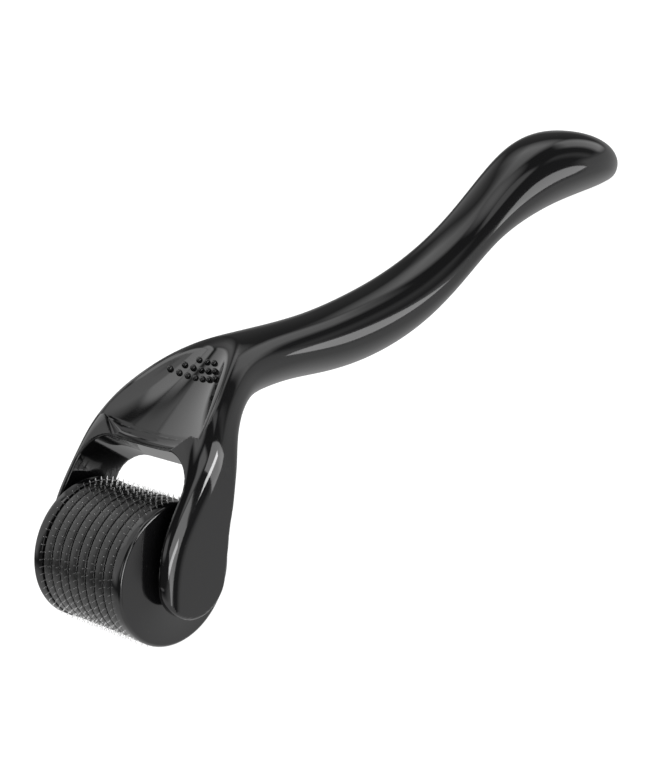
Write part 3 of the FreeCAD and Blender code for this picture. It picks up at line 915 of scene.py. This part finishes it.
# Panels of the studio's wall: middle azimuth and elevation, half width and half height, lean in
# degrees of azimuth for each of elevation, softness of the edge, and radiance
WALL_PANELS = (
    (-24, 44, 17, 19, 0.0, 8, 1.35),
    (-8, 66, 46, 9, 0.0, 6, 1.6),
    (6, 13, 13, 19, -0.25, 5, 1.35),
    (43, 48, 7, 10, -0.6, 3, 1.2),
    (39, 14, 5, 20, 0.0, 4, 0.45),
    (-57, 30, 8, 26, 0.0, 6, 0.6),
    (-118, 45, 16, 40, 0.0, 5, 1.2),
    (-63, 70, 20, 10, -0.9, 2, 3.0),
    (-64, 55, 10, 6, -0.2, 2, 2.6),
    (-85, 24, 22, 18, 0.0, 3, 1.5),
    (-94.5, 50, 20, 9, -0.25, 1.5, 1.1),
    (-100, 65, 14, 6, -1.45, 2, 1.0),
    (178, 36, 26, 11, 0.0, 4, 1.6),
    (150, 82, 180, 9, 0.0, 5, 1.8),
    (96, 47, 15, 15, 0.0, 4, 2.0),
)
PANEL_INPUTS = (
    "Middle_Azimuth", "Middle_Elevation", "Half_Width", "Half_Height", "Lean", "Soft", "Radiance",
)

# A dark flag in front of the sweep, and the dark studio's own faint light
DARK_FLAG = (78, -10, 27, 16, 0.0, 4, 1.0)
NIGHT = 0.1

# The lit sweep: its radiance level, how much it gains towards +x and loses towards +y, and how
# much brighter it gets once the direction points further down than SWEEP_DEEP
SWEEP_LEVEL = 0.75
SWEEP_SIDE = 0.35
SWEEP_DEEP = -0.6
SWEEP_DEEP_GAIN = 2.0
SWEEP_FADE = 14
SWEEP_FADE_START = 0.2


def studio_world():
    """The studio round the object: a lit sweep below, dark above with soft panels, and plain
    white behind for the camera."""
    world = bpy.data.worlds.new("studio")
    bpy.context.scene.world = world
    world.use_nodes = True
    tree = world.node_tree
    tree.nodes.clear()
    place = tree.nodes.new("ShaderNodeTexCoord").outputs["Generated"]
    split = tree.nodes.new("ShaderNodeSeparateXYZ")
    tree.links.new(place, split.inputs[0])
    x, y, z = (split.outputs[label] for label in "XYZ")
    degrees = 180 / math.pi
    azimuth = math_node(tree, "MULTIPLY", math_node(tree, "ARCTAN2", x, y), degrees)
    elevation = math_node(tree, "MULTIPLY", math_node(tree, "ARCSINE", z), degrees)
    group = studio_panel()

    def panel(values):
        node = place_group(tree, group, **dict(zip(PANEL_INPUTS, values)))
        tree.links.new(azimuth, node.inputs["Azimuth"])
        tree.links.new(elevation, node.inputs["Elevation"])
        return node.outputs["Light"]

    sweep = math_node(tree, "MULTIPLY_ADD", x, SWEEP_SIDE, SWEEP_LEVEL)
    sweep = math_node(tree, "SUBTRACT", sweep, math_node(tree, "MULTIPLY", y, SWEEP_SIDE))
    deep = math_node(tree, "MAXIMUM", math_node(tree, "MULTIPLY_ADD", z, -1.0, SWEEP_DEEP), 0.0)
    gain = math_node(tree, "MULTIPLY_ADD", deep, SWEEP_DEEP_GAIN, 1.0)
    sweep = math_node(tree, "MULTIPLY", sweep, gain)
    below = math_node(
        tree, "MULTIPLY_ADD", elevation, -1 / SWEEP_FADE, SWEEP_FADE_START, clamp=True
    )
    flag = math_node(tree, "SUBTRACT", 1.0, panel(DARK_FLAG))
    sweep = math_node(tree, "MULTIPLY", math_node(tree, "MULTIPLY", sweep, below), flag)
    light = math_node(tree, "MAXIMUM", sweep, NIGHT)
    for values in WALL_PANELS:
        light = math_node(tree, "MAXIMUM", light, panel(values))
    seen = tree.nodes.new("ShaderNodeBackground")
    tree.links.new(light, seen.inputs["Strength"])
    plain = tree.nodes.new("ShaderNodeBackground")
    mix = tree.nodes.new("ShaderNodeMixShader")
    tree.links.new(tree.nodes.new("ShaderNodeLightPath").outputs["Is Camera Ray"], mix.inputs[0])
    tree.links.new(seen.outputs[0], mix.inputs[1])
    tree.links.new(plain.outputs[0], mix.inputs[2])
    for background in (seen, plain):
        background.inputs["Color"].default_value = (1, 1, 1, 1)
    out = tree.nodes.new("ShaderNodeOutputWorld")
    tree.links.new(mix.outputs[0], out.inputs[0])


CAMERA_AZIMUTH = 49.156
CAMERA_ELEVATION = 31.545
CAMERA_ROLL = -18.872
CAMERA_TARGET = (0.0, -0.015115, 0.009847)
CAMERA_DISTANCE = 0.257313
CAMERA_LENS = 75.35
SENSOR_WIDTH = 36.0


def camera():
    """The camera: its direction from the object, its roll, and its distance from a point."""
    azimuth, elevation, roll = (
        math.radians(angle) for angle in (CAMERA_AZIMUTH, CAMERA_ELEVATION, CAMERA_ROLL)
    )
    back = np.array([
        math.sin(azimuth) * math.cos(elevation),
        -math.cos(azimuth) * math.cos(elevation),
        math.sin(elevation),
    ])
    level = np.array([math.cos(azimuth), math.sin(azimuth), 0.0])
    upright = np.cross(back, level)
    right = math.cos(roll) * level + math.sin(roll) * upright
    up = math.cos(roll) * upright - math.sin(roll) * level
    lens = bpy.data.cameras.new("camera")
    lens.lens = CAMERA_LENS
    lens.sensor_width = SENSOR_WIDTH
    lens.clip_start = 0.01
    lens.clip_end = 50.0
    eye = bpy.data.objects.new("camera", lens)
    bpy.context.scene.collection.objects.link(eye)
    place = np.array(CAMERA_TARGET) + back * CAMERA_DISTANCE
    matrix = np.eye(4)
    matrix[:3, 0], matrix[:3, 1], matrix[:3, 2], matrix[:3, 3] = right, up, back, place
    eye.matrix_world = Matrix(matrix.tolist())
    bpy.context.scene.camera = eye


bpy.context.scene.view_settings.view_transform = "Standard"
floor_plane()
studio_world()
camera()
for lamp_name, lamp_values in SOFTBOXES.items():
    softbox(lamp_name, *lamp_values)
